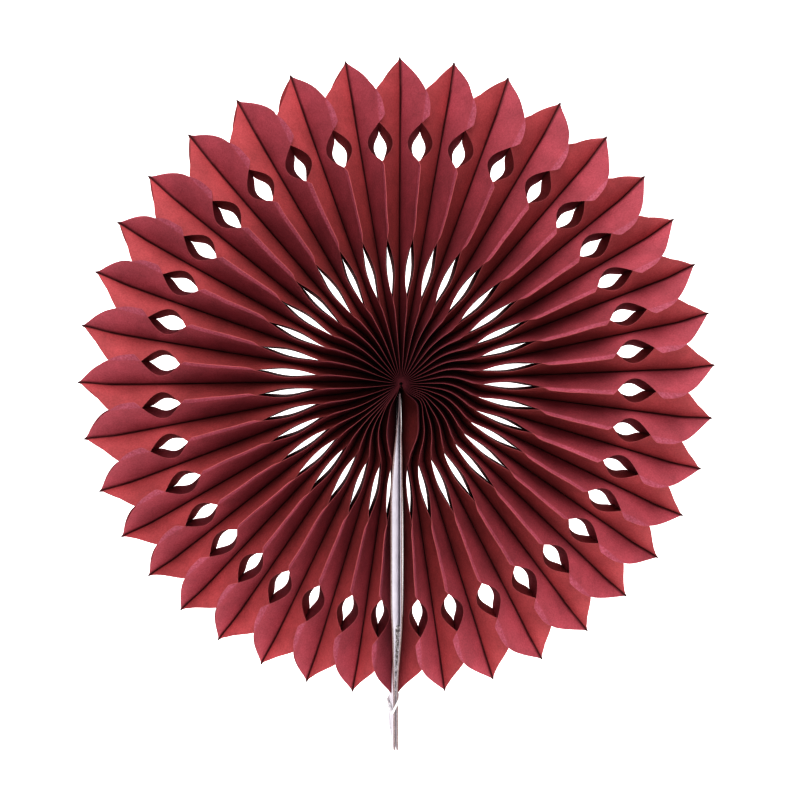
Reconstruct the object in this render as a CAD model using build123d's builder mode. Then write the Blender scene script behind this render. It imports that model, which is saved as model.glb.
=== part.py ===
from build123d import *
from math import asin, cos, degrees, pi, radians, sin, sqrt
import os

# A double-sided paper rosette, opened all the way round and closed by its two
# cover cards. It hangs or is pinned upright: its axis runs along Y, its front
# faces -Y, its cards point down along -Z, and the origin is its centre.
# All sizes are in millimetres and all angles in degrees.

# Opened rosette. The leaves aren't spaced quite evenly round the rim: they stand
# closer together on the left and by the cards, and are pulled over a little at the top.
leaf_count = 38
tip_radius = 200.0
rim_depth = 15.3
tight_left = 4.2
tight_card = 0.93
pull_top = 0.55
uneven_third = 0.41
uneven_sixth = 0.47

# Paper leaves, from the pointed end at the rim in to the hub
paper = 0.2
margin = 4.0
margin_lean = 66.0
arch_length = 17.5
rim_flap = 23.3
outer_hole_length = 24.0
outer_hole_reach = 12.3
web_length = 46.5
inner_hole_length = 40.3
inner_hole_reach = 9.6
hole_flare = 3.0
bend_past_hole = 10.0
glue_film = 0.04
hub_glue = 2.0
hub_slack = 1.6

# Cover cards and what holds them together
board = 1.2
tail_length = 30.0
card_bow = 2.5
tail_gap = 0.9
hang_hole_radius = 1.75
hang_hole_to_end = 9.0
tape_length = 42.0
tape_to_rim = 8.0
tape_inset = 2.0
thread_radius = 0.7
thread_past_rim = 3.0
thread_drop = 8.0
spine_inset = 1.0

# Sides of the many-sided cuts that make half of each eye-shaped hole, of the glue
# spine and of the thread, and how far the cuts run on past the edge of the strip
outer_sides = 5
inner_sides = 4
spine_sides = 16
thread_sides = 6
overcut = 1.0
# Corners of the margin that leans over at the rim, in shares of its length and width
flap_corners = [(0, -0.1), (0.15, 1), (0.45, 1), (1, -0.1)]

# The packed inner ends of all the leaves make the hub. The strip is as wide as it
# takes to stand rim_depth deep where the pointed end of the leaf begins.
hub_radius = hub_slack * leaf_count * 2 * paper / (2 * pi)
half_pitch = radians(180 / leaf_count)
panel = sqrt(rim_depth**2 + ((tip_radius - arch_length) * sin(half_pitch)) ** 2)
strip_half = panel + margin
card_edge = degrees(asin((board + glue_film) / hub_radius))
card_start = hub_radius * cos(radians(card_edge))
spine_radius = card_start - glue_film

# Distances from the axis, measured along a leaf
shoulder = tip_radius - arch_length
outer_end = shoulder - rim_flap
outer_start = outer_end - outer_hole_length
inner_end = outer_start - web_length
inner_start = inner_end - inner_hole_length
card_length = tip_radius + tail_length
hang_hole_at = card_length - hang_hole_to_end
outer_middle = outer_start + outer_hole_length / 2
# A leaf twists open from the hub to the rim, in flat facets between these places
bends = [hub_radius, inner_end + bend_past_hole, outer_middle, tip_radius]


def mix(low, high, share):
    """A value or point part of the way between two others."""
    return low + (high - low) * share


def along_bends(values, radius):
    """Reads a quantity given at each bend at any distance from the axis."""
    i = next(k for k in range(1, len(bends)) if radius <= bends[k] or k == len(bends) - 1)
    return mix(values[i - 1], values[i], (radius - bends[i - 1]) / (bends[i] - bends[i - 1]))


def crease(radius):
    """Depth of the front or back crease, where the strip keeps its own width."""
    return sqrt(panel**2 - (radius * sin(half_pitch)) ** 2)


# The glued margin stands straight up on the crease near the hub and lies right over
# at the rim, and the outer hole is where it changes from one to the other.
upright = [1, 1, 0.5, 0]
ridges = [crease(r) + margin * share for r, share in zip(bends, upright)]


def compass(radius, angle):
    """A point of the rosette's plane, by its angle from +X towards +Z."""
    return Vector(radius * cos(radians(angle)), 0, radius * sin(radians(angle)))


def rim_angle(share):
    """Where a side line ends at the rim, counter-clockwise from the cards."""
    turn = 2 * pi * share
    sway = tight_card * (1 - cos(2 * turn)) - tight_left * sin(turn) - pull_top * (1 - cos(turn))
    unevenness = uneven_third * (1 - cos(3 * turn)) - uneven_sixth * sin(6 * turn)
    return 270 + 360 * share + sway + unevenness


def hub_angle(share):
    """Where a side line starts at the hub, evenly spaced clear of the cards."""
    return 270 + mix(card_edge, 360 - card_edge, share)


def half_gap(radius):
    """Half of the space between the cards, which bow apart between hub and rim."""
    share = (radius - hub_radius) / (tip_radius - hub_radius)
    return mix(glue_film, tail_gap, share) / 2 + card_bow / 2 * sin(pi * share)


half_gaps = [half_gap(r) for r in bends]


def side_line(number):
    """Where a leaf meets its neighbour or a card, from the hub to the rim."""
    share = number / leaf_count
    if number in (0, leaf_count):
        side = 1 if number == 0 else -1
        reach = [card_start, *bends[1:]]
        return [Vector(side * (g + board + glue_film / 2), 0, -r) for g, r in zip(half_gaps, reach)]
    start = compass(hub_radius, hub_angle(share))
    end = compass(tip_radius, rim_angle(share))
    return [mix(start, end, (r - hub_radius) / (tip_radius - hub_radius)) for r in bends]


def cross_section(clockwise, counter, ridge, wall=0):
    """Corners of a leaf cut across at a bend, moved in by wall for its hollow."""
    middle = (clockwise + counter) / 2
    half = (counter - clockwise).length / 2 - glue_film / 2
    slope = sqrt(half**2 + ridge**2)
    side = (counter - clockwise).normalized() * (half - wall * slope / ridge)
    top = Vector(0, ridge - wall * slope / half, 0)
    return [middle + side, middle + top, middle - side, middle - top]


def hole_outline(start, length, reach, sides):
    """Half of an eye-shaped hole in side view, open to the edge of the strip."""
    mouth = strip_half + overcut
    opening = start - hole_flare * (mouth - crease(start)) / margin
    closing = start + length + hole_flare * (mouth - crease(start + length)) / margin
    points = []
    for k in range(1, sides):
        x = start + length * k / sides
        points.append((x, crease(x) * (1 - reach / panel * sin(pi * k / sides))))
    return [(opening, mouth), *points, (closing, mouth)]


def side_view_outline(tip):
    """Half of the die-cut outline: two eye-shaped holes and the pointed end."""
    outline = [(0, 0), (0, strip_half + overcut)]
    outline += hole_outline(inner_start, inner_hole_length, inner_hole_reach, inner_sides)
    outline += hole_outline(outer_start, outer_hole_length, outer_hole_reach, outer_sides)[:-1]
    over_flap = along_bends(ridges, outer_end) + margin / 2
    arch_foot = tip - arch_length * over_flap / along_bends(ridges, shoulder)
    return [*outline, (outer_end, over_flap), (arch_foot, over_flap), (tip, 0)]


def leaf_part(number):
    """One leaf: two die-cut sheets glued along their margins into a flat tube."""
    clockwise, counter = side_line(number - 1), side_line(number)
    middle = [(a + b) / 2 for a, b in zip(clockwise, counter)]
    along = (middle[-1] - middle[0]).normalized()
    across = Vector(0, 1, 0).cross(along)
    tip = hub_radius + (middle[-1] - middle[0]).length
    sections = list(zip(clockwise, counter, ridges))

    with BuildPart() as leaf:
        # Outside of the tube
        for start, end in zip(sections, sections[1:]):
            ConvexPolyhedron([*cross_section(*start), *cross_section(*end)])
        # Margins at the rim, which lean over clockwise, on the front and the back
        for face in (Vector(0, -1, 0), Vector(0, 1, 0)):
            low, high = [along_bends(middle, r) + face * along_bends(ridges, r) for r in (outer_end, shoulder)]
            crease_line = (high - low).normalized()
            lean = face * cos(radians(margin_lean)) - across * sin(radians(margin_lean))
            with BuildSketch(Plane(low, x_dir=crease_line, z_dir=crease_line.cross(lean))):
                with BuildLine():
                    Polyline([(x * rim_flap, y * margin) for x, y in flap_corners], close=True)
                make_face()
            extrude(amount=paper, both=True)
        # Hollow between the two sheets, which closes to nothing at the hub
        hollows = [cross_section(*s, wall=paper) for s in sections[1:]]
        seam = middle[0] + along * hub_glue
        depth = Vector(0, crease(hub_radius), 0)
        for start, end in zip([[seam + depth, seam - depth], *hollows], hollows):
            ConvexPolyhedron([*start, *end], mode=Mode.SUBTRACT)
        with BuildSketch(Plane(middle[0] - along * hub_radius, x_dir=along, z_dir=across)):
            with BuildLine():
                Polyline(side_view_outline(tip), close=True)
            make_face()
            mirror(about=Plane.XZ)
        extrude(amount=strip_half, both=True, mode=Mode.INTERSECT)
    leaf.part.label = f"leaf_{number:02d}"
    return leaf.part


def card_part(side, name):
    """A cover card: a straight strip of board, bowed away from its partner."""
    reach = [card_start, *bends[1:], card_length]
    gaps = [*half_gaps, tail_gap / 2]
    inner = [(side * g, -r) for g, r in zip(gaps, reach)]
    outer = [(side * (g + board), -r) for g, r in zip(gaps, reach)]
    with BuildPart() as card:
        with BuildSketch(Plane.XZ):
            with BuildLine():
                Polyline([*inner, *reversed(outer)], close=True)
            make_face()
        extrude(amount=strip_half, both=True)
        with BuildSketch(Plane.YZ):
            with Locations((0, -hang_hole_at)):
                Circle(hang_hole_radius)
        extrude(amount=tail_gap + 2 * board, both=True, mode=Mode.SUBTRACT)
    card.part.label = name
    return card.part


os.makedirs("parts", exist_ok=True)

for number in range(1, leaf_count + 1):
    leaf = leaf_part(number)
    export_step(leaf, f"parts/{leaf.label}.step")

for side, name in ((1, "cover_card_right"), (-1, "cover_card_left")):
    card = card_part(side, name)
    export_step(card, f"parts/{name}.step")

# Strip of double-sided tape that holds the two cards shut near the rim
tape_end = tip_radius - tape_to_rim
tape_start = tape_end - tape_length
tape_reach = [tape_start, *[r for r in bends if tape_start < r < tape_end], tape_end]
tape_edge = [(along_bends(half_gaps, r) - glue_film / 2, -r) for r in tape_reach]
with BuildPart() as tape:
    with BuildSketch(Plane.XZ):
        with BuildLine():
            Polyline([*tape_edge, *[(-x, z) for x, z in reversed(tape_edge)]], close=True)
        make_face()
    extrude(amount=strip_half - tape_inset, both=True)
tape.part.label = "closing_tape"
export_step(tape.part, "parts/closing_tape.step")

# Hot-glue spine at the hub, which every leaf and both cards are stuck to
with BuildPart() as spine:
    with BuildSketch(Plane.XZ):
        RegularPolygon(spine_radius, spine_sides)
    extrude(amount=strip_half - spine_inset, both=True)
spine.part.label = "glue_spine"
export_step(spine.part, "parts/glue_spine.step")

# Thread tied once round both cards just past the rim, lower on the left card
tail_half = tail_gap / 2 + board
loop_x = tail_half + thread_radius + glue_film
loop_y = strip_half + thread_radius + glue_film
slant = Vector(2 * loop_x, 0, thread_drop)
loop_half = slant.length / 2
loop_centre = Vector(0, 0, -(tip_radius + thread_past_rim + thread_drop / 2))
with BuildPart() as thread:
    with BuildLine(Plane(loop_centre, x_dir=slant, z_dir=slant.cross(Vector(0, 1, 0)))) as loop:
        Polyline(
            (-loop_half, -loop_y + thread_radius),
            (-loop_half + thread_radius, -loop_y),
            (loop_half - thread_radius, -loop_y),
            (loop_half, -loop_y + thread_radius),
            (loop_half, loop_y - thread_radius),
            (loop_half - thread_radius, loop_y),
            (-loop_half + thread_radius, loop_y),
            (-loop_half, loop_y - thread_radius),
            close=True,
        )
    with BuildSketch(Plane(loop.line @ 0, z_dir=loop.line % 0)):
        RegularPolygon(thread_radius, thread_sides)
    sweep(path=loop.line, transition=Transition.RIGHT)
thread.part.label = "thread_tie"
export_step(thread.part, "parts/thread_tie.step")
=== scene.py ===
# %% [markdown]
# # A paper fan rosette
# The rosette is a round decoration made of many narrow paper tubes, its leaves, glued side by
# side and opened all the way round until its two cover cards meet. It hangs upright: its axis
# runs along Y, its front faces -Y and its cards point down. Each leaf twists open from the packed
# hub to the rim. This lesson loads the measured model first, then bends one flat die-cut sheet
# into all the leaves by a rule, and dresses the cards, the tape, the thread and the hub.

# %% Load the measured model
import math
import bmesh
import bpy
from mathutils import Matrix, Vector


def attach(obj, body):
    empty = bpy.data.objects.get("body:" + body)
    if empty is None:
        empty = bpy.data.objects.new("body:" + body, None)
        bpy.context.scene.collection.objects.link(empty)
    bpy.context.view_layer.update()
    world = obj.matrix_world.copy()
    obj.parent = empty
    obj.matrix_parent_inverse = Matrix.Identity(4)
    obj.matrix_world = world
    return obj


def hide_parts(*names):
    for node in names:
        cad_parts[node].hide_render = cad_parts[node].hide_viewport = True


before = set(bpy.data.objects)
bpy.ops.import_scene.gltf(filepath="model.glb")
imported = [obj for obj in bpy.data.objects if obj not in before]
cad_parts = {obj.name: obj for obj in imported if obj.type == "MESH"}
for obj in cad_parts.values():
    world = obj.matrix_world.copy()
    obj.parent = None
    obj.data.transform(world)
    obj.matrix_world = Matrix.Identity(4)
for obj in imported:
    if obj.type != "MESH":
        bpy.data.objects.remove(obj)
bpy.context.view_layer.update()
MM = 0.001
leaf_names = sorted(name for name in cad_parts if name.startswith("leaf_"))
leaf_count = len(leaf_names)

# %% [markdown]
# ## Camera
# The photograph was taken from a little above and to the left, from about two rosettes away. The
# camera keeps that angle, and looks at a point just below the hub, so that the tail of the cards
# has its room at the bottom of the picture.


# %% Camera
def in_scene(name, data):
    """A new object with the given data, linked to the scene."""
    thing = bpy.data.objects.new(name, data)
    bpy.context.scene.collection.objects.link(thing)
    return thing


camera_distance = 860 * MM
camera_from_left = math.radians(1.4)
camera_from_above = math.radians(1.6)
picture_width_there = 501.5 * MM
aim = Vector((0.73 * MM, 0, -12.15 * MM))

towards_camera = Vector((
    -math.sin(camera_from_left) * math.cos(camera_from_above),
    -math.cos(camera_from_left) * math.cos(camera_from_above),
    math.sin(camera_from_above),
))
camera_data = bpy.data.cameras.new("camera")
camera_data.angle = 2 * math.atan(picture_width_there / 2 / camera_distance)
camera = in_scene("camera", camera_data)
camera.location = aim + towards_camera * camera_distance
camera.rotation_euler = (-towards_camera).to_track_quat("-Z", "Y").to_euler()
bpy.context.scene.camera = camera
bpy.context.scene.view_settings.view_transform = "Standard"
bpy.context.scene.view_settings.look = "High Contrast"
print("camera at", [round(value, 3) for value in camera.location])

# %% [markdown]
# ## Small helpers for materials
# Every finish here is a Principled shader whose colour is varied by noise. These helpers keep the
# cells below short. They add a node with its sockets filled in, make noise, mix two colours,
# stretch a number and give a surface its colour and bumps. Colours are written as the eye sees
# them, and turned to linear light for the shader.


# %% Material helpers
def linear(red, green, blue):
    """A colour given as the eye sees it, 0 to 255, as linear light."""
    steps = [value / 255 for value in (red, green, blue)]
    return [s / 12.92 if s <= 0.04045 else ((s + 0.055) / 1.055) ** 2.4 for s in steps] + [1.0]


def plug(tree, socket, value):
    """Links a socket or a Field to an input, or writes a plain value into it."""
    source = getattr(value, "socket", value)
    if isinstance(source, bpy.types.NodeSocket):
        tree.links.new(source, socket)
    else:
        socket.default_value = source


def add_node(tree, kind, sockets=(), **settings):
    """Adds a node, sets its properties, and fills inputs by their name or number."""
    node = tree.nodes.new(kind)
    for name, value in settings.items():
        setattr(node, name, value)
    for key, value in dict(sockets).items():
        plug(tree, node.inputs[key], value)
    return node


def new_material(name, roughness, specular):
    """A Principled material, with its tree and its shader node."""
    material = bpy.data.materials.new(name)
    material.use_nodes = True
    shader = material.node_tree.nodes["Principled BSDF"]
    shader.inputs["Roughness"].default_value = roughness
    shader.inputs["Specular IOR Level"].default_value = specular
    return material, material.node_tree, shader


def noise_on_piece(tree, scale, detail=3.0, roughness=0.6):
    """Noise in the object's own coordinates, with scale in bumps per metre."""
    place = add_node(tree, "ShaderNodeTexCoord").outputs["Object"]
    sockets = {"Vector": place, "Scale": scale, "Detail": detail, "Roughness": roughness}
    return add_node(tree, "ShaderNodeTexNoise", sockets).outputs["Fac"]


def mix_colours(tree, share, first, second, blend="MIX"):
    """Mixes two colours or colour sockets by a number or a number socket."""
    mix = add_node(tree, "ShaderNodeMix", data_type="RGBA", blend_type=blend)
    known = {socket.identifier: socket for socket in mix.inputs}
    for name, value in (("Factor_Float", share), ("A_Color", first), ("B_Color", second)):
        plug(tree, known[name], value)
    return next(s for s in mix.outputs if s.identifier == "Result_Color")


def ramp(tree, value, low, high):
    """Stretches a number socket so that low becomes 0 and high becomes 1."""
    sockets = {"Value": value, "From Min": low, "From Max": high}
    return add_node(tree, "ShaderNodeMapRange", sockets).outputs["Result"]


def paint(tree, shader, colour, height=None, depth=0.0):
    """Gives a surface its colour and, where a height is given, bumps; depth is in metres."""
    tree.links.new(colour, shader.inputs["Base Color"])
    if height is not None:
        bump = add_node(tree, "ShaderNodeBump", {"Distance": depth, "Height": height})
        tree.links.new(bump.outputs["Normal"], shader.inputs["Normal"])


print("helpers ready")

# %% [markdown]
# ## Finish of the paper
# The leaves are uncoated paper, dyed through. One face is a warmer red than the other, and the
# two sheets of a leaf turn different faces out. Painted shade darkens the paper towards the hub.
# The glued margin has a mauve bloom, which painted shade also darkens at the hub, and painted
# shade darkens the valley beside each glue line and the very tip. These could be painted on a
# picture and wrapped round each leaf, but the leaf's tree knows them already: its attributes
# sheet, margin, distance and valley say where each point lies, and the colour is mixed from them.

# %% Colour of the paper
# Painted shade darkens the paper's faces between the first two distances from the hub, and its
# bloom between the next two.
painted_hub_shade_zone, painted_bloom_shade_zone = (75 * MM, 190 * MM), (10 * MM, 90 * MM)
# Painted shade at the very tip of each leaf, on its faces and on its cut edge.
painted_tip_shade_start, painted_tip_shade_end = 197 * MM, 200 * MM
painted_tip_shade = linear(56, 20, 22)


def stored(tree, name):
    """A number that the leaf's tree has stored at every point."""
    return add_node(tree, "ShaderNodeAttribute", attribute_name=name).outputs["Fac"]


def face_colour(tree, distance):
    """The warm and the cool face of the paper, both darkened by painted shade at the hub."""
    out_of_painted_shade = ramp(tree, distance, *painted_hub_shade_zone)
    warm = mix_colours(tree, out_of_painted_shade, linear(138, 60, 60), linear(186, 86, 90))
    cool = mix_colours(tree, out_of_painted_shade, linear(136, 58, 66), linear(184, 89, 101))
    return mix_colours(tree, stored(tree, "sheet"), warm, cool)


def bloom_colour(tree, distance):
    """The mauve bloom of the margins, darkened by painted shade at the hub."""
    speckle = ramp(tree, noise_on_piece(tree, 700), 0.35, 0.65)
    bloom = mix_colours(tree, speckle, linear(170, 80, 94), linear(188, 102, 120))
    # Painted shade: the bloom goes dark towards the hub.
    return mix_colours(tree, ramp(tree, distance, *painted_bloom_shade_zone), linear(92, 38, 48), bloom)


def dye_and_painted_shade_colour(tree):
    """The paper's colour with its bloom and its painted shade, before its fibres are seen."""
    distance = stored(tree, "distance")
    on_margin = ramp(tree, stored(tree, "margin"), 0.0, 0.12)
    face, bloom = face_colour(tree, distance), bloom_colour(tree, distance)
    bloomed = mix_colours(tree, on_margin, face, bloom)
    # Painted shade: the valley beside each glue line is darkened.
    painted_valley_shade = ramp(tree, stored(tree, "valley"), 0.3, 1.0)
    stain_and_painted_shade = mix_colours(tree, painted_valley_shade, bloomed, linear(74, 26, 30))
    # Painted shade at the very tip.
    at_tip = ramp(tree, distance, painted_tip_shade_start, painted_tip_shade_end)
    return mix_colours(tree, at_tip, stain_and_painted_shade, painted_tip_shade)


# The painted shade on the paper lifts between these distances from the hub.
print("the paper fades between", [round(end / MM) for end in painted_hub_shade_zone], "mm from the hub")

# %% [markdown]
# ## Fibres and cut edges
# Seen close, the fibres make the paper cloudy and speckled, and a little rough to the touch. Two
# sizes of noise, multiplied into the colour, do that, and the finer one also bumps the surface. A
# cut edge shows torn fibres, so it is a lighter, rougher pink and gets a material of its own.


# %% Paper and its cut edge
def paper_material():
    """Burgundy paper: its colour, its clouds and its fibres."""
    material, tree, shader = new_material("leaf_paper", roughness=0.7, specular=0.35)
    cloudy = ramp(tree, noise_on_piece(tree, 60, detail=2), 0.3, 0.7)
    clouds = mix_colours(tree, cloudy, linear(225, 225, 225), linear(255, 255, 255))
    fibres = ramp(tree, noise_on_piece(tree, 900, detail=4, roughness=0.7), 0.3, 0.7)
    speckle = mix_colours(tree, fibres, linear(214, 206, 208), linear(255, 255, 255))
    clouded = mix_colours(tree, 1.0, dye_and_painted_shade_colour(tree), clouds, blend="MULTIPLY")
    speckled = mix_colours(tree, 1.0, clouded, speckle, blend="MULTIPLY")
    paint(tree, shader, speckled, fibres, 0.05 * MM)
    return material


def cut_edge_material():
    """The paper's cut edge, where its torn fibres catch the light, with painted shade at the hub.
    """
    material, tree, shader = new_material("paper_edge", roughness=0.9, specular=0.1)
    distance = stored(tree, "distance")
    torn = mix_colours(tree, noise_on_piece(tree, 1500), linear(150, 76, 80), linear(180, 104, 106))
    # Painted shade: the cut edge is darkened towards the hub.
    painted_edge_hub_shade = mix_colours(tree, ramp(tree, distance, 5 * MM, 80 * MM), linear(72, 30, 36), torn)
    # Painted shade at the very tip of the cut edge.
    at_tip = ramp(tree, distance, painted_tip_shade_start - 1 * MM, painted_tip_shade_end - 1 * MM)
    paint(tree, shader, mix_colours(tree, at_tip, painted_edge_hub_shade, painted_tip_shade))
    return material


paper_finish = paper_material()
edge_finish = cut_edge_material()
print("finishes:", paper_finish.name, edge_finish.name)

# %% [markdown]
# ## The flat die-cut strip
# Each leaf is two equal strips of paper. A strip is pointed at the rim, and a pair of notches at
# each edge makes half of an eye-shaped hole. It could be drawn as a curve and filled, but a grid
# of points that follows a rule bends far better. The rule says how wide half of the strip is at
# any distance from the hub, and the columns of the grid are closer together where the outline
# turns.

# %% Sizes of the strip
tip_radius = 200 * MM
hub_radius = 3.87 * MM
hub_reach = 1.0 * MM
panel = 21.5 * MM
margin, hub_margin = 5.0 * MM, 4.0 * MM
point_slope, flap_round = 1.15, 7 * MM
point_length = 24 * MM
inner_hole = {"start": 48.4 * MM, "length": 40.3 * MM, "reach": 9.6 * MM, "flare": 7 * MM}
outer_hole = {"start": 135.2 * MM, "length": 24.0 * MM, "reach": 11.4 * MM, "flare": 5 * MM}
strip_half = panel + margin
inner_start, outer_start = inner_hole["start"], outer_hole["start"]
inner_end = inner_start + inner_hole["length"]
outer_end = outer_start + outer_hole["length"]
strip_length = tip_radius - hub_radius
print("strip in mm:", round(2 * strip_half / MM, 1), "wide,", round(strip_length / MM), "long")


# %% Outline of the strip
def notched(radius, start, length, reach, flare):
    """Half width of the strip beside and across one pair of notches."""
    along = (radius - start) / length
    if 0 <= along <= 1:
        return panel - reach * math.sin(math.pi * along)
    away = max(start - radius, radius - start - length)
    return panel + margin * math.sin(math.pi / 2 * min(away / flare, 1))


def half_width(radius):
    """Half width of the strip at a distance from the hub's axis."""
    side = (tip_radius - radius) * point_slope
    corner = math.hypot(strip_half - side, flap_round) - math.hypot(strip_half, flap_round)
    point = (side - corner) / 2
    widest = strip_half if radius > outer_start else panel + hub_margin
    return min(point, widest, notched(radius, **inner_hole), notched(radius, **outer_hole))


def spread(start, end, count):
    """Evenly spaced values from start up to, but not including, end."""
    return [start + (end - start) * k / count for k in range(count)]


stations = [
    *spread(hub_reach, inner_start, 22),
    *spread(inner_start, inner_end, 14),
    *spread(inner_end, outer_start, 14),
    *spread(outer_start, outer_end, 14),
    *spread(outer_end, tip_radius - point_length, 8),
    *spread(tip_radius - point_length, tip_radius, 12),
    tip_radius,
]
print("stations along the strip:", len(stations))

# %% [markdown]
# ## The strip as a mesh
# Across the strip the grid has a row on the glue line, rows up the panel to the crease, and rows
# on the margin beyond it. Where a notch cuts the margin away, its rows fall together and are
# merged, so every strip keeps the same simple pattern and no face is left without area.

# %% Flat strip as a grid
panel_rows, margin_rows = 8, 3
glue_width = 1.5 * MM
merge_distance = 0.001 * MM


def rows_at(radius):
    """Places across half of the strip: the valley, the panel, the crease and the margin."""
    width = half_width(radius)
    panel_part = min(width, panel)
    margin_part = max(width - panel, 0)
    past_glue = panel_part - min(glue_width, panel_part)
    panel_steps, margin_steps = range(panel_rows + 1), range(1, margin_rows + 1)
    on_panel = [panel_part - past_glue + past_glue * k / panel_rows for k in panel_steps]
    return [0, *on_panel, *[panel_part + margin_part * k / margin_rows for k in margin_steps]]


def flat_strip():
    """The die-cut strip lying flat: x is the distance from the hub, y the place across."""
    build = bmesh.new()
    columns = []
    for radius in stations:
        half = rows_at(radius)
        across = [-y for y in reversed(half[1:])] + half
        columns.append([build.verts.new((radius, y, 0)) for y in across])
    for left, right in zip(columns, columns[1:]):
        for k in range(len(left) - 1):
            build.faces.new((left[k], right[k], right[k + 1], left[k + 1]))
    bmesh.ops.remove_doubles(build, verts=build.verts, dist=merge_distance)
    bmesh.ops.dissolve_degenerate(build, edges=build.edges, dist=merge_distance)
    mesh = bpy.data.meshes.new("flat_strip")
    build.to_mesh(mesh)
    build.free()
    mesh.materials.append(paper_finish)
    mesh.materials.append(edge_finish)
    return mesh


strip_mesh = flat_strip()
print("strip:", len(strip_mesh.vertices), "points,", len(strip_mesh.polygons), "faces")

# %% [markdown]
# ## Arithmetic for Geometry Nodes
# The bend of a leaf is a formula, and a formula is hard to read as a drawing of nodes. A Field
# holds one output socket, and adding or multiplying Fields adds the Math node for it, so the rule
# can be written as plain arithmetic and still be a tree of nodes.


# %% Fields
class Field:
    """A number that a node tree works out at every point of the mesh."""

    def __init__(self, tree, socket):
        self.tree = tree
        self.socket = socket

    def math(self, operation, *others):
        values = enumerate((self, *others))
        node = add_node(self.tree, "ShaderNodeMath", values, operation=operation)
        return Field(self.tree, node.outputs[0])

    def __add__(self, other):
        return self.math("ADD", other)

    def __sub__(self, other):
        return self.math("SUBTRACT", other)

    def __mul__(self, other):
        return self.math("MULTIPLY", other)

    def __truediv__(self, other):
        return self.math("DIVIDE", other)

    def __rsub__(self, other):
        return self * -1 + other

    __radd__ = __add__


def bell(value, centre, width):
    """A bump of height 1 at centre that fades to nothing a few widths away."""
    step = (value - centre) / width
    return (step * step * -1).math("EXPONENT")


def ease(value, start, end):
    """Goes smoothly from 0 at start to 1 at end."""
    sockets = {"Value": value, "From Min": start, "From Max": end}
    node = add_node(value.tree, "ShaderNodeMapRange", sockets, interpolation_type="SMOOTHSTEP")
    return Field(value.tree, node.outputs["Result"])


def blend(first, second, share):
    """Part of the way from first to second."""
    return first + (second - first) * share


leaf_spacing_in_noise = 7.31


def wander(place, along, size, seed):
    """Smooth unevenness between -1 and 1, different for each leaf."""
    tree = place.tree
    values = enumerate((place * leaf_spacing_in_noise + seed, along / size, seed))
    spot = add_node(tree, "ShaderNodeCombineXYZ", values).outputs[0]
    noise = add_node(tree, "ShaderNodeTexNoise", {"Vector": spot, "Scale": 1.0, "Detail": 1.0})
    return (Field(tree, noise.outputs["Fac"]) - 0.5) * 3


print("arithmetic ready")

# %% [markdown]
# ## Where the glue lines run
# Neighbouring leaves are glued along the middle of their depth, and seen from the front each glue
# line is a valley that ends in a tip. At the rim the valleys are nearly even, closer together at
# one side and by the cards. At the hub the strips are packed evenly round the ends of the cards.
# Paper is springy, so a strip keeps the direction in which it leaves the hub for a while and only
# then turns to its place at the rim, later on the right than on the left.

# %% Rule for the glue lines
bottom = 1.5 * math.pi
tight_left, tight_card, pull_top = math.radians(4.2), math.radians(0.93), math.radians(0.55)
uneven_third, uneven_sixth = math.radians(0.41), math.radians(0.47)
board = 1.2 * MM
glue_film = 0.04 * MM
tail_gap = 0.9 * MM
card_bow = 2.5 * MM
turn_end, turn_start_share = 54 * MM, 0.42
straight_share, straight_place, straight_spread = 1.3, 0.80, 0.12
right_bulge, right_spread = math.radians(20), 0.12
left_bulge, left_spread = math.radians(11), 0.05
bulge_radius, bulge_width = 14 * MM, 8 * MM
gather_zone, tail_shift = (145 * MM, 190 * MM), 2.2 * MM


def half_gap(radius):
    """Half of the space between the cards, halfway through their depth."""
    share = (radius - hub_radius) / (tip_radius - hub_radius)
    arch = (share * math.pi).math("SINE")
    return (share * (tail_gap - glue_film) + glue_film) / 2 + arch * (card_bow / 2)


def glue_line_angle(side, radius):
    """Direction of a glue line from the hub's axis; side 0 and the last lie on the cards."""
    share = side / leaf_count
    turn = share * (2 * math.pi)
    by_card = (1 - (turn * 2).math("COSINE")) * tight_card
    sway = by_card - turn.math("SINE") * tight_left - (1 - turn.math("COSINE")) * pull_top
    unevenness = (1 - (turn * 3).math("COSINE")) * uneven_third
    rim = turn + sway + unevenness - (turn * 6).math("SINE") * uneven_sixth
    gathered = ease(radius, *gather_zone) * tail_shift
    right_card = ((half_gap(radius) + board - gathered) / radius).math("ARCSINE")
    left_card = ((half_gap(radius) + board + gathered) / radius).math("ARCSINE")
    hub_card = math.asin((board + glue_film) / hub_radius)
    hub = share * (2 * math.pi - 2 * hub_card) + hub_card
    springy = 1 - bell(share, straight_place, straight_spread) * straight_share
    stay = (1 - ease(radius, turn_end * turn_start_share, turn_end)) * springy
    bulge = bell(share, 0, right_spread) * right_bulge - bell(share, 1, left_spread) * left_bulge
    free = blend(rim, hub, stay) + bulge * bell(radius, bulge_radius, bulge_width)
    on_right = side.math("LESS_THAN", 0.5)
    on_left = side.math("GREATER_THAN", leaf_count - 0.5)
    beside_right = blend(free, right_card, on_right)
    return blend(beside_right, 2 * math.pi - left_card, on_left) + bottom


print("glue lines from the bottom, counter-clockwise")

# %% [markdown]
# ## Inputs of a leaf
# The tree takes the flat strip twice, once for each sheet of the leaf, and moves every point to
# its place. Each leaf could be bent by hand, but Geometry Nodes suit this well: one tree, with
# the leaf's number as an input, makes them all. The paper's sizes are inputs too, and so are the
# few numbers that say how softly it bends and how far its margins lean.

# %% Start of a tree
paper = 0.2 * MM
leaf_inputs = {
    "Leaf number": 1.0,
    "Panel width": panel,
    "Margin width": margin,
    "Paper thickness": paper,
    "Glue width": glue_width,
    "Lean": 1.15,
    "Curl": math.radians(14),
    "Front softness": 0.35,
    "Back bulge": 0.19,
    "Unevenness": 1.0,
}


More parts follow.
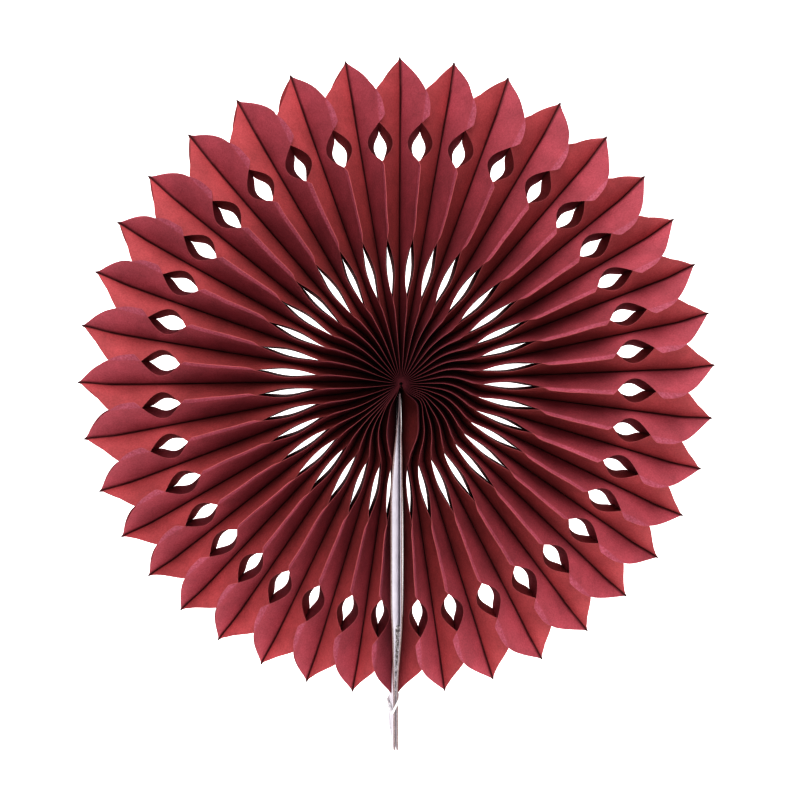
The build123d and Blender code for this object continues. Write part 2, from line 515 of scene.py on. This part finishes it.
def start_tree(name, inputs):
    """A new Geometry Nodes tree with named number inputs, which come back as Fields."""
    tree = bpy.data.node_groups.new(name, "GeometryNodeTree")
    tree.interface.new_socket("Geometry", in_out="INPUT", socket_type="NodeSocketGeometry")
    tree.interface.new_socket("Geometry", in_out="OUTPUT", socket_type="NodeSocketGeometry")
    for title, value in inputs.items():
        socket = tree.interface.new_socket(title, in_out="INPUT", socket_type="NodeSocketFloat")
        socket.default_value = value
    entry = add_node(tree, "NodeGroupInput")
    return tree, entry, {title: Field(tree, entry.outputs[title]) for title in inputs}


def store(tree, geometry, name, value):
    """Keeps a number for every point under a name that the material can read."""
    sockets = {"Geometry": geometry, "Name": name, "Value": value}
    kind = "GeometryNodeStoreNamedAttribute"
    return add_node(tree, kind, sockets, data_type="FLOAT", domain="POINT").outputs["Geometry"]


def two_sheets(tree, strip):
    """The strip twice, with the second turned over, each marked with its sheet, 0 or 1."""
    flipped = add_node(tree, "GeometryNodeFlipFaces", {"Mesh": strip})
    both = add_node(tree, "GeometryNodeJoinGeometry")
    tree.links.new(store(tree, strip, "sheet", 0.0), both.inputs[0])
    tree.links.new(store(tree, flipped.outputs["Mesh"], "sheet", 1.0), both.inputs[0])
    return both.outputs[0]


print("inputs of the leaf's tree:", ", ".join(leaf_inputs))

# %% [markdown]
# ## Bending a panel
# Between two glue lines a leaf is as wide as they are apart, and its panels rise from there to
# the creases in front and behind. A panel leaves the glue line straight forward and bends towards
# the crease. Behind, it also bulges, which narrows the holes there. No two leaves of a real
# rosette are quite the same, so a little smooth unevenness pushes each crease aside. The first
# and the last leaf are held by the cards and are pushed aside the most.

# %% Rule for the panels
standing_zone, softer_zone = (60 * MM, 150 * MM), (150 * MM, 200 * MM)
cup_zone, cup_share = (162 * MM, 184 * MM), 0.36
hole_middle, hole_spread, hole_bulge = outer_start + outer_hole["length"] / 2, 16 * MM, 0.055
free_zone = (28 * MM, 55 * MM)
first_push, last_push, end_spread = 0.85, -0.25, 0.6
slow_push, quick_push = 0.10, 0.05
rim_stiffness, front_stand, back_stand, own_bulge = 0.4, 0.8, 0.5, 0.5


def leaf_space(number, radius, thickness):
    """Direction of a leaf's middle, half of its width there, and how far out that middle is."""
    clockwise = glue_line_angle(number - 1, radius)
    counter = glue_line_angle(number, radius)
    middle = (clockwise + counter) / 2
    half_angle = (counter - clockwise) / 2
    half = (radius * half_angle.math("SINE") - thickness).math("MAXIMUM", 0.02 * MM)
    return middle, half, radius * half_angle.math("COSINE")


def panel_share(given, radius, up_panel, in_front, sheet, personal):
    """How far across, from the glue line to the crease, a point of the panel lies."""
    standing = 1 - ease(radius, *standing_zone)
    soft = up_panel * up_panel * (2 - up_panel)
    full = up_panel * up_panel * (3 - up_panel * 2)
    softness = given["Front softness"] * (1 - ease(radius, *softer_zone) * rim_stiffness)
    front = blend(blend(up_panel, soft, softness), full, standing * front_stand)
    hump = up_panel * (1 - up_panel)
    bulging = given["Back bulge"] + bell(radius, hole_middle, hole_spread) * hole_bulge
    bulged = hump * 4 * bulging * (personal * own_bulge + 1)
    back = blend(up_panel, full, standing * back_stand) + bulged
    cupped = (sheet * 2 - 1) * hump * ease(radius, *cup_zone) * cup_share
    return (blend(back, front, in_front) + cupped).math("MINIMUM", 1.0)


def crease_shift(number, radius, half, slow, quick):
    """How far the creases are pushed aside."""
    held = bell(number, 1, end_spread) * first_push
    held = held + bell(number, leaf_count, end_spread) * last_push
    near_hub = 1 - ease(radius, *free_zone)
    return half * (held * near_hub + slow * slow_push + quick * quick_push)


print("the back bulges most", round(hole_middle / MM), "mm from the hub")

# %% [markdown]
# ## Leaning the margins
# Beyond the crease the two sheets are glued face to face. That margin stands up near the hub and
# leans over clockwise more and more towards the rim, where it also curls. Between the inner and
# the outer holes it leans differently from leaf to leaf: flatter in two directions, and more
# upright in one. A bell for each of these places, added to an even lean, keeps the change smooth.

# %% Rule for the margins
flap_zone = (150 * MM, 165 * MM)
web_lean, level_lean = 0.85, 1.0
own_sway, slow_sway, quick_sway = 0.25, 0.15, 0.06
flattest = {"place": 0.27, "spread": 0.12, "extra": 0.35}
flatter = {"place": 0.64, "spread": 0.07, "extra": 0.3}
upright = {"place": 0.5, "spread": 0.05, "extra": -0.5}


def margin_lean(given, number, radius, slope, along_margin, slow, quick, personal):
    """Angle at which the margin leans over clockwise."""
    flap = ease(radius, *flap_zone)
    turned = (number - 0.5) / leaf_count
    web = personal * own_sway + slow * slow_sway + web_lean
    for part in (flattest, flatter, upright):
        web = web + bell(turned, part["place"], part["spread"]) * part["extra"]
    share = blend(web, quick * quick_sway + level_lean, flap)
    return slope * given["Lean"] * share + given["Curl"] * along_margin * flap


print("the margins turn over between", [round(end / MM) for end in flap_zone], "mm")

# %% [markdown]
# ## The tree of a leaf
# The rules meet here. The tree reads where a point lies on the flat strip, works out how far it
# is out from the hub, sideways from the leaf's middle and forward from the glue line, and sets it
# there. In this rosette the tips are pulled up a little and the front edges droop beside the hub.
# The tree ends in Realize Instances and Set Material, because the export keeps only real
# geometry.

# %% Tree that bends a leaf
tip_pull = (-0.4 * MM, 1.65 * MM)
hub_lean = (0.75 * MM, -1.7 * MM)
droop_zone = (10 * MM, 60 * MM)
valley_width, back_valley = 2.5 * MM, 0.6


def finish_tree(tree, geometry, place):
    """Moves every point to its place and gives the result its material."""
    moved = add_node(tree, "GeometryNodeSetPosition", {"Geometry": geometry, "Position": place})
    real = add_node(tree, "GeometryNodeRealizeInstances", {0: moved.outputs[0]})
    sockets = {"Geometry": real.outputs[0], "Material": paper_finish}
    dressed = add_node(tree, "GeometryNodeSetMaterial", sockets)
    add_node(tree, "NodeGroupOutput", {0: dressed.outputs[0]})


def leaf_tree():
    """Builds the tree that turns two flat strips into the leaf with the given number."""
    tree, entry, given = start_tree("bend_leaf", leaf_inputs)
    sheets = two_sheets(tree, entry.outputs["Geometry"])
    flat_place = add_node(tree, "GeometryNodeInputPosition").outputs[0]
    parts = add_node(tree, "ShaderNodeSeparateXYZ", {0: flat_place})
    radius, across = Field(tree, parts.outputs[0]), Field(tree, parts.outputs[1])
    sockets = {"Name": "sheet"}
    marked_sheet = add_node(tree, "GeometryNodeInputNamedAttribute", sockets, data_type="FLOAT")
    sheet = Field(tree, marked_sheet.outputs["Attribute"])
    number, panel_width, glued = given["Leaf number"], given["Panel width"], given["Glue width"]

    slow = wander(number, radius, size=60 * MM, seed=3.0) * given["Unevenness"]
    quick = wander(number, radius, size=22 * MM, seed=8.0) * given["Unevenness"]
    personal = wander(number, radius, size=400 * MM, seed=5.0) * given["Unevenness"]
    middle, half, outwards = leaf_space(number, radius, given["Paper thickness"])
    depth = (panel_width * panel_width - half * half).math("SQRT")

    face, reach = across.math("SIGN"), across.math("ABSOLUTE")
    in_front = (face + 1) / 2
    up_panel = ((reach - glued) / (panel_width - glued)).math("MAXIMUM", 0.0).math("MINIMUM", 1.0)
    on_margin = (reach - panel_width).math("MAXIMUM", 0.0)
    along_margin = on_margin / given["Margin width"]
    share = panel_share(given, radius, up_panel, in_front, sheet, personal)
    slope = (half / depth).math("ARCTANGENT")
    lean = margin_lean(given, number, radius, slope, along_margin, slow, quick, personal)
    pushed = crease_shift(number, radius, half, slow, quick) * share
    sideways = (sheet * 2 - 1) * half * (1 - share) + pushed - lean.math("SINE") * on_margin
    on_glue = reach.math("MINIMUM", glued)
    forward = on_glue + (depth - glued) * up_panel + lean.math("COSINE") * on_margin

    cosine, sine = middle.math("COSINE"), middle.math("SINE")
    pulled = ease(radius, tip_radius - point_length, tip_radius)
    leaning = in_front * forward / strip_half * (1 - ease(radius, *droop_zone))
    goal = add_node(tree, "ShaderNodeCombineXYZ", enumerate((
        outwards * cosine - sideways * sine + pulled * tip_pull[0] + leaning * hub_lean[0],
        face * forward * -1,
        outwards * sine + sideways * cosine + pulled * tip_pull[1] + leaning * hub_lean[1],
    )))
    # The valley share tells the material where to paint shade beside the glue line, weaker behind.
    by_glue = (1 - (reach - glued) / valley_width).math("MAXIMUM", 0.0).math("MINIMUM", 1.0)
    marked = store(tree, sheets, "margin", along_margin)
    marked = store(tree, marked, "distance", radius)
    marked = store(tree, marked, "valley", by_glue * (in_front * (1 - back_valley) + back_valley))
    finish_tree(tree, marked, goal.outputs[0])
    return tree


bend_leaf = leaf_tree()
print("the leaf's tree has", len(bend_leaf.nodes), "nodes")

# %% [markdown]
# ## All the leaves
# The modifier is set up by each input's identifier. Its result is read back as a plain mesh and
# given its paper thickness by Solidify, which grows outwards, because the two sheets touch along
# their margins. The rim of the sheet takes the second material, the cut edge.


# %% Bake a modifier into a mesh
def set_input(modifier, title, value):
    """Sets a modifier's input, found by its title and set by its identifier."""
    items = modifier.node_group.interface.items_tree
    socket = next(i for i in items if i.name == title and i.in_out == "INPUT")
    modifier[socket.identifier] = value


def baked(piece, name):
    """A new object with the piece's evaluated mesh and no modifiers."""
    bpy.context.view_layer.update()
    graph = bpy.context.evaluated_depsgraph_get()
    seen = piece.evaluated_get(graph)
    mesh = bpy.data.meshes.new_from_object(seen, preserve_all_data_layers=True, depsgraph=graph)
    mesh.name = name
    plain = in_scene(name, mesh)
    bpy.data.objects.remove(piece)
    return plain


def smooth(piece, sharp_from):
    """Shades smoothly, apart from edges sharper than the given angle."""
    piece.data.shade_smooth()
    piece.data.set_sharp_from_angle(angle=math.radians(sharp_from))


print("ready to bake", len(leaf_names), "leaves")


# %% Make the leaves
def make_leaf(number):
    """One leaf: the strip bent twice, with its thickness and its cut edges."""
    piece = in_scene("strip", strip_mesh)
    bend = piece.modifiers.new("bend", "NODES")
    bend.node_group = bend_leaf
    set_input(bend, "Leaf number", float(number))
    thicken = piece.modifiers.new("thickness", "SOLIDIFY")
    thicken.thickness = paper
    thicken.offset = 1.0
    thicken.material_offset_rim = 1
    leaf = baked(piece, f"paper_leaf_{number:02d}")
    smooth(leaf, 50)
    return leaf


leaves = []
for index, node_name in enumerate(leaf_names):
    leaf = make_leaf(index + 1)
    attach(leaf, "root")
    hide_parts(node_name)
    leaves.append(leaf)
print("faces in one leaf:", len(leaves[0].data.polygons))

# %% [markdown]
# ## The two cover cards
# The cards are straight strips of greyboard with pale lilac paper on both faces, stained by glue
# where they enter the hub. The layers inside the board only show at its edges: grey pulp, a pale
# skin inside and a brown one on the side that the leaves are glued to. The edges get a finish of
# their own for that, which reads the layer that each point lies in.

# %% Finishes of the card
card_stain_start, card_stain_end = 6 * MM, 45 * MM


def dimmed_at_hub(tree, colour):
    """Darkens a colour towards the hub, where glue has stained the card."""
    place = add_node(tree, "ShaderNodeTexCoord").outputs["Object"]
    parts = add_node(tree, "ShaderNodeSeparateXYZ", {0: place})
    stain_and_painted_shade = ramp(tree, parts.outputs["Z"], -card_stain_end, -card_stain_start)
    return mix_colours(tree, stain_and_painted_shade, colour, linear(88, 74, 76))
# Darkens a colour towards the hub, where glue has discoloured the card.


def card_paper_material():
    """The pale lilac paper on the faces of the card."""
    material, tree, shader = new_material("card_paper", roughness=0.75, specular=0.3)
    clouds = ramp(tree, noise_on_piece(tree, 120), 0.3, 0.7)
    colour = mix_colours(tree, clouds, linear(196, 190, 198), linear(210, 205, 212))
    paint(tree, shader, dimmed_at_hub(tree, colour), noise_on_piece(tree, 700), 0.03 * MM)
    return material


def card_edge_material():
    """The cut edge of the board: grey pulp between paper faces, brown at the glued side."""
    material, tree, shader = new_material("card_edge", roughness=0.9, specular=0.15)
    layer = stored(tree, "layer")
    fibres = ramp(tree, noise_on_piece(tree, 1300, detail=4), 0.35, 0.65)
    pulp = mix_colours(tree, fibres, linear(124, 108, 108), linear(160, 146, 146))
    inner_skin = mix_colours(tree, ramp(tree, layer, 0.18, 0.06), pulp, linear(176, 170, 178))
    outer_skin = mix_colours(tree, ramp(tree, layer, 0.72, 0.86), inner_skin, linear(104, 70, 64))
    paint(tree, shader, dimmed_at_hub(tree, outer_skin), fibres, 0.08 * MM)
    return material


card_paper, card_edge = card_paper_material(), card_edge_material()
print("finishes:", card_paper.name, card_edge.name)

# %% [markdown]
# ## Shape of the cards
# The cards touch at the hub. Where the leaves pull at them, their front edges flare apart, the
# left one more than the right, and they come together again in the tail, which is turned a little
# to the left. The front edge is pared thin and sunk where it enters the hub. A bent box could do
# for a card, but a rule for its outer face gives the tape and the thread the same surface to
# follow.

# %% Rule for the cards
card_start, card_end, card_half_depth = 3.4 * MM, 226 * MM, 25.5 * MM
left_card = {"side": -1, "bow": 4.5 * MM, "front": -3.9 * MM, "back": -5.8 * MM}
right_card = {"side": 1, "bow": 0.5 * MM, "front": -1.0 * MM, "back": -2.9 * MM}
pared_share, pared_zone, pared_sharpness = 0.6, (5 * MM, 50 * MM), 4
bow_start, bow_full, bow_ease, bow_end, flare_sharpness = 5 * MM, 75 * MM, 135 * MM, 195 * MM, 20
sunk_depth, sunk_end = 4.5 * MM, 30 * MM


def step_up(value, start, end):
    """Goes smoothly from 0 at start to 1 at end, for a plain number."""
    part = min(max((value - start) / (end - start), 0), 1)
    return part * part * (3 - 2 * part)


def board_at(along, towards_back):
    """Thickness of the board, whose front edge is pared thin where it enters the hub."""
    at_hub = 1 - step_up(along, *pared_zone)
    return board * (1 - pared_share * at_hub * (1 - towards_back) ** pared_sharpness)


def outer_face(card, along, towards_back):
    """Sideways place of the outer face of a card; towards_back goes from 0 to 1."""
    bow = step_up(along, bow_start, bow_full) * (1 - step_up(along, bow_ease, bow_end))
    at_hub = card["side"] * (board_at(along, towards_back) + glue_film / 2)
    tail = card["front"] + (card["back"] - card["front"]) * towards_back
    flared = card["side"] * card["bow"] * bow * (1 - towards_back) ** flare_sharpness
    return at_hub + flared + (tail - at_hub) * step_up(along, *gather_zone)


flares = [outer_face(card, bow_full, 0) / MM for card in (left_card, right_card)]
print("the cards' front edges flare to", [round(flare, 1) for flare in flares], "mm")

# %% [markdown]
# ## Lofting
# Cards, tape, glue and thread all keep one cross section along their length. A loft suits them: a
# ring of points, the outline of the section, is placed at many distances along the piece and each
# ring is joined to the next. Its two ends are closed, and its faces are turned outwards.


# %% Loft
def loft(name, rings, edge_faces=(), layers=()):
    """Joins rings of points into a closed skin; edge_faces and the ends can take material 1."""
    count = len(rings[0])
    points = [point for ring in rings for point in ring]
    faces = []
    slots = []
    for here in range(0, len(points) - count, count):
        there = here + count
        for j in range(count):
            after = (j + 1) % count
            faces.append((here + j, here + after, there + after, there + j))
            slots.append(1 if j in edge_faces else 0)
    faces.append(tuple(reversed(range(count))))
    faces.append(tuple(len(points) - count + j for j in range(count)))
    slots += [1 if edge_faces else 0] * 2
    mesh = bpy.data.meshes.new(name)
    mesh.from_pydata(points, [], faces)
    mesh.polygons.foreach_set("material_index", slots)
    if layers:
        kept = mesh.attributes.new("layer", "FLOAT", "POINT")
        kept.data.foreach_set("value", list(layers) * len(rings))
    face_out(mesh)
    return in_scene(name, mesh)


def face_out(mesh):
    """Turns every face outwards."""
    build = bmesh.new()
    build.from_mesh(mesh)
    bmesh.ops.recalc_face_normals(build, faces=build.faces)
    build.to_mesh(mesh)
    build.free()


print("ready to loft")

# %% [markdown]
# ## Making the cards
# The section of a card is a long, thin oblong. Its points are closer together at the front, where
# the card flares. The hanging hole goes through both tails: a round bar is taken away from each
# card with a Boolean modifier, which leaves a clean, round edge.

# %% Make the cards
depth_parts, board_parts, length_parts = 16, 6, 64
hole_place, hole_radius, hole_sides = -221 * MM, 1.75 * MM, 24


def card_ring(card, along):
    """Points round the cross section of a card, each with its layer in the board."""
    outline = [((k / depth_parts) ** 2, 1.0) for k in range(depth_parts)]
    outline += [(1.0, 1 - k / board_parts) for k in range(board_parts)]
    outline += [((1 - k / depth_parts) ** 2, 0.0) for k in range(depth_parts)]
    outline += [(0.0, k / board_parts) for k in range(board_parts)]
    ring = []
    for towards_back, layer in outline:
        thick = board_at(along, towards_back)
        sideways = outer_face(card, along, towards_back) - card["side"] * thick * (1 - layer)
        sunk = sunk_depth * (1 - towards_back) ** 2 * (1 - step_up(along, card_start, sunk_end))
        ring.append((sideways, (2 * towards_back - 1) * card_half_depth, -along - sunk))
    return ring, [layer for _, layer in outline]


def hole_cutter():
    """A round bar through both tails where the hanging hole is."""
    turns = spread(0, 2 * math.pi, hole_sides)
    ends = (-15 * MM, 10 * MM)
    rings = [
        [(x, hole_radius * math.cos(a), hole_place + hole_radius * math.sin(a)) for a in turns]
        for x in ends
    ]
    return loft("hole_cutter", rings)


def make_card(card, node_name):
    """One cover card, with its edges, its bow and its punched hole."""
    places = spread(card_start, card_end, length_parts) + [card_end]
    made = [card_ring(card, along) for along in places]
    back_edge = range(depth_parts, depth_parts + board_parts)
    front_edge = range(2 * depth_parts + board_parts, 2 * (depth_parts + board_parts))
    solid = loft("card", [ring for ring, _ in made], {*back_edge, *front_edge}, made[0][1])
    solid.data.materials.append(card_paper)
    solid.data.materials.append(card_edge)
    cutter = hole_cutter()
    punch = solid.modifiers.new("punch", "BOOLEAN")
    punch.operation = "DIFFERENCE"
    punch.solver = "EXACT"
    punch.object = cutter
    piece = baked(solid, "dressed_" + node_name)
    bpy.data.objects.remove(cutter)
    smooth(piece, 30)
    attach(piece, "root")
    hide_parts(node_name)
    return piece


cards = [make_card(left_card, "cover_card_left"), make_card(right_card, "cover_card_right")]
print("faces in one card:", len(cards[0].data.polygons))

# %% [markdown]
# ## Tape
# A strip of double-sided tape fills the gap between the cards near the rim. It could be a plain
# box, but it has to touch both cards where they bend, so it is lofted along their inner faces.
# Its front and back ends are ragged, and its torn adhesive is lumpy and mottled.


# %% Tape
def tape_material():
    """Mottled adhesive: milky lumps, grey tears and dark gaps."""
    material, tree, shader = new_material("tape", roughness=0.45, specular=0.5)
    lumps = ramp(tree, noise_on_piece(tree, 420, detail=4, roughness=0.7), 0.42, 0.6)
    tears = ramp(tree, noise_on_piece(tree, 900, detail=2), 0.5, 0.62)
    milky = mix_colours(tree, lumps, linear(74, 66, 66), linear(196, 192, 194))
    colour = mix_colours(tree, tears, milky, linear(120, 112, 112))
    paint(tree, shader, colour, lumps, 0.4 * MM)
    return material


tape_top, tape_end, tape_front, tape_back = 150 * MM, 193 * MM, 0.02, 0.965
tape_parts, tape_overlap = 60, 0.01 * MM


def make_tape():
    """The tape, which touches the inner faces of both cards."""
    corners = [(left_card, tape_front), (right_card, tape_front)]
    corners += [(right_card, tape_back), (left_card, tape_back)]
    rings = []
    for k, along in enumerate(spread(tape_top, tape_end, tape_parts) + [tape_end]):
        ragged = 0.007 * math.sin(k * 1.7) + 0.006 * math.sin(k * 0.61 + 1)
        ring = []
        for card, place in corners:
            face = outer_face(card, along, place) - card["side"] * (board - tape_overlap)
            out = place + ragged if place == tape_front else place - ragged
            ring.append((face, (2 * out - 1) * card_half_depth, -along))
        rings.append(ring)
    piece = loft("dressed_tape", rings)
    piece.data.materials.append(tape_material())
    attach(piece, "root")
    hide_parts("closing_tape")
    return piece


tape = make_tape()
print("faces in the tape:", len(tape.data.polygons))

# %% [markdown]
# ## Glue
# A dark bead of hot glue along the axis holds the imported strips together. It hides behind their
# front ends and closes the little gaps between them. It is lofted from round rings, whose radius
# swells and shrinks a little along the bead. The paper has stained it, so its colour wavers.


# %% Glue at the hub
def noisy_material(name, roughness, specular, scale, first, second):
    """A material whose colour wavers between two colours."""
    material, tree, shader = new_material(name, roughness, specular)
    paint(tree, shader, mix_colours(tree, noise_on_piece(tree, scale), first, second))
    return material


dark, stain_and_painted_shade = linear(40, 16, 18), linear(66, 26, 30)
glue_finish = noisy_material("hot_glue", 0.6, 0.3, 300, dark, stain_and_painted_shade)
bead_radius, bead_half_length, bead_sides, bead_parts = 5.0 * MM, 20.5 * MM, 20, 36


def make_glue():
    """The bead of glue along the axis, uneven and with rounded ends."""
    turns = spread(0, 2 * math.pi, bead_sides)
    rings = []
    for k in range(bead_parts + 1):
        place = 2 * k / bead_parts - 1
        round_end = math.sqrt(max(1 - abs(place) ** 8, 0.02))
        swollen = (0.25 * math.sin(7 * place) + 0.15 * math.sin(17 * place + 1)) * MM
        thick, forward = (bead_radius + swollen) * round_end, place * bead_half_length
        rings.append([(thick * math.cos(a), forward, thick * math.sin(a)) for a in turns])
    piece = loft("dressed_glue", rings)
    piece.data.materials.append(glue_finish)
    smooth(piece, 60)
    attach(piece, "root")
    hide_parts("glue_spine")
    return piece


glue = make_glue()
print("faces in the glue:", len(glue.data.polygons))

# %% [markdown]
# ## The thread
# A white thread of three twisted strands is tied once round both tails. It could be one tube with
# a bumped surface, but close to the camera the twist shows at its outline. So each strand is a
# thin tube that winds round the thread's path: its centre line is the path moved sideways by an
# offset that turns as it goes. The path is first cut into even steps, and two directions across
# it are carried along from step to step, so that the strands don't turn suddenly at a corner.

# %% Thread finish and tubes
shaded, white = linear(214, 212, 214), linear(250, 249, 250)
thread_finish = noisy_material("thread", 0.85, 0.2, 2500, shaded, white)
strand_count, strand_radius, strand_sides = 3, 0.42 * MM, 7
twist_radius, twist_length, path_step = 0.4 * MM, 3.6 * MM, 0.6 * MM


def evenly(points, step):
    """Points about one step apart along a broken line."""
    result = [points[0]]
    for first, second in zip(points, points[1:]):
        parts = max(round((second - first).length / step), 1)
        result += [first.lerp(second, k / parts) for k in range(1, parts + 1)]
    return result


def frames_along(points, closed):
    """Two directions across the path at every point, without sudden turns."""
    count = len(points)
    across = Vector((0.31, 0.52, 0.8))
    frames = []
    for k in range(count):
        before = points[(k - 1) % count] if closed else points[max(k - 1, 0)]
        after = points[(k + 1) % count] if closed else points[min(k + 1, count - 1)]
        ahead = (after - before).normalized()
        across = (across - ahead * across.dot(ahead)).normalized()
        frames.append((across, ahead.cross(across)))
    return frames


def strand_rings(points, start_turn, closed):
    """Rings of one strand that winds round the path."""
    length = sum((b - a).length for a, b in zip(points, points[1:]))
    twists = max(round(length / twist_length), 1)
    rings = []
    for k, (point, (first, second)) in enumerate(zip(points, frames_along(points, closed))):
        turn = start_turn + 2 * math.pi * twists * k / (len(points) - 1)
        centre = point + (first * math.cos(turn) + second * math.sin(turn)) * twist_radius
        rings.append([
            tuple(centre + (first * math.cos(a) + second * math.sin(a)) * strand_radius)
            for a in spread(0, 2 * math.pi, strand_sides)
        ])
    return rings


print("strands:", strand_count, "of", 2 * strand_radius / MM, "mm")

# %% [markdown]
# ## The thread's path
# The thread goes round the tails in a rectangle with round corners that slants down to the left.
# It ends in a small knot on the left card, which is a coil pulled so tight that it looks like a
# lump, and a short loose end hangs in a slack curve from the knot to the punched hole.

# %% Paths of the thread
wrap_at, wrap_slant, wrap_gap = -200.8 * MM, 2.0, 0.85 * MM
wrap_corners = [(left_card, 0, 180), (right_card, 0, 270), (right_card, 1, 0), (left_card, 1, 90)]
knot_along, knot_depth = 204 * MM, 0.4


def wrap_path():
    """Round both tails once, close to the cards, slanting down to the left."""
    corners = []
    for card, towards_back, start in wrap_corners:
        x = outer_face(card, -wrap_at, towards_back)
        y = (2 * towards_back - 1) * card_half_depth
        for k in range(5):
            turn = math.radians(start + 22.5 * k)
            corners.append((x + wrap_gap * math.cos(turn), y + wrap_gap * math.sin(turn)))
    corners.append(corners[0])
    middle = sum(x for x, _ in corners) / len(corners)
    return [Vector((x, y, wrap_at + (x - middle) * wrap_slant)) for x, y in corners]


def knot_path(place):
    """A small coil that is pulled tight, seen as a lump."""
    turns = [2 * math.pi * k / 14 for k in range(40)]
    return [
        place + Vector((-0.5 + 0.9 * math.cos(a), 0.9 * math.sin(a * 0.5), 0.95 * math.sin(a))) * MM
        for a in turns
    ]


def loose_path(place, end):
    """The loose end, which hangs in a slack curve."""
    points = [place.lerp(end, k / 16) for k in range(17)]
    slack = Vector((-0.9, 1.3, 0)) * MM
    return [point + slack * math.sin(math.pi * k / 16) for k, point in enumerate(points)]


wrap = evenly(wrap_path(), path_step)
print("round the tails:", round(sum((b - a).length for a, b in zip(wrap, wrap[1:])) / MM), "mm")


# %% Make the thread
def make_thread():
    """All strands of the wrap, the knot and the loose end, joined into one piece."""
    knot_side = outer_face(left_card, knot_along, knot_depth)
    knot_at = Vector((knot_side - 1.0 * MM, -4 * MM, -knot_along))
    hole_side = outer_face(left_card, -hole_place, 0.5)
    hole_at = Vector((hole_side - 0.5 * MM, 0.3 * MM, hole_place + 0.4 * MM))
    knot, loose = knot_path(knot_at), loose_path(knot_at, hole_at)
    pieces = []
    for points, closed in ((wrap, True), (knot, False), (evenly(loose, path_step), False)):
        for strand in range(strand_count):
            rings = strand_rings(points, 2 * math.pi * strand / strand_count, closed)
            pieces.append(loft("strand", rings))
    joined = bmesh.new()
    for strand in pieces:
        joined.from_mesh(strand.data)
        bpy.data.objects.remove(strand)
    mesh = bpy.data.meshes.new("dressed_thread")
    joined.to_mesh(mesh)
    joined.free()
    mesh.materials.append(thread_finish)
    piece = in_scene("dressed_thread", mesh)
    smooth(piece, 60)
    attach(piece, "root")
    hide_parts("thread_tie")
    return piece


thread = make_thread()
print("faces in the thread:", len(thread.data.polygons))

# %% [markdown]
# ## Floor and wall
# The photograph is a shop picture on white, with a floor and a wall so bright that they have no
# tone. A plane and a second plane would show the line where they meet. The backdrop is one sheet
# instead, which curves up behind the rosette. It glows a little, so that it stays white.

# %% Backdrop
backdrop_material, _, backdrop_shader = new_material("backdrop", roughness=0.9, specular=0.0)
backdrop_shader.inputs["Base Color"].default_value = (0.9, 0.9, 0.9, 1)
backdrop_shader.inputs["Emission Color"].default_value = (1, 1, 1, 1)
backdrop_shader.inputs["Emission Strength"].default_value = 0.7
floor_height, wall_distance, bend_radius, backdrop_half = -0.34, 1.6, 0.6, 3.0


def backdrop_profile():
    """The floor, a quarter turn, and the wall, as points of a side view."""
    turn = [math.radians(angle) for angle in range(0, 91, 10)]
    centre_y, centre_z = wall_distance - bend_radius, floor_height + bend_radius
    bent = [
        (centre_y + bend_radius * math.sin(a), centre_z - bend_radius * math.cos(a)) for a in turn
    ]
    return [(-0.3, floor_height), *bent, (wall_distance, 3.0)]


profile = backdrop_profile()
backdrop_points = [(x, y, z) for y, z in profile for x in (-backdrop_half, backdrop_half)]
backdrop_faces = [(2 * k, 2 * k + 1, 2 * k + 3, 2 * k + 2) for k in range(len(profile) - 1)]
backdrop_mesh = bpy.data.meshes.new("backdrop")
backdrop_mesh.from_pydata(backdrop_points, [], backdrop_faces)
backdrop_mesh.materials.append(backdrop_material)
backdrop = in_scene("backdrop", backdrop_mesh)
smooth(backdrop, 80)
print("backdrop points:", len(backdrop_points))

# %% [markdown]
# ## Light
# One broad soft light stands in front and above, so the leaves at the top are lit along their
# length and the ones at the bottom across it. A weak light near the camera opens the shadows of
# the hub, and an even white world keeps the deepest folds from going black.


# %% Lights
def soft_light(name, place, size, power):
    """A square soft light that faces the hub."""
    data = bpy.data.lights.new(name, "AREA")
    data.size = size
    data.energy = power
    lamp = in_scene(name, data)
    lamp.location = place
    lamp.rotation_euler = (-Vector(place)).to_track_quat("-Z", "Y").to_euler()
    return lamp


soft_light("key_above", (0.05, -1.1, 1.5), size=1.5, power=30)
soft_light("fill_front", (-0.05, -0.95, 0.05), size=0.5, power=1.6)
world = bpy.data.worlds.new("studio")
world.use_nodes = True
sky = world.node_tree.nodes["Background"]
sky.inputs["Color"].default_value = (1, 1, 1, 1)
sky.inputs["Strength"].default_value = 0.4
bpy.context.scene.world = world
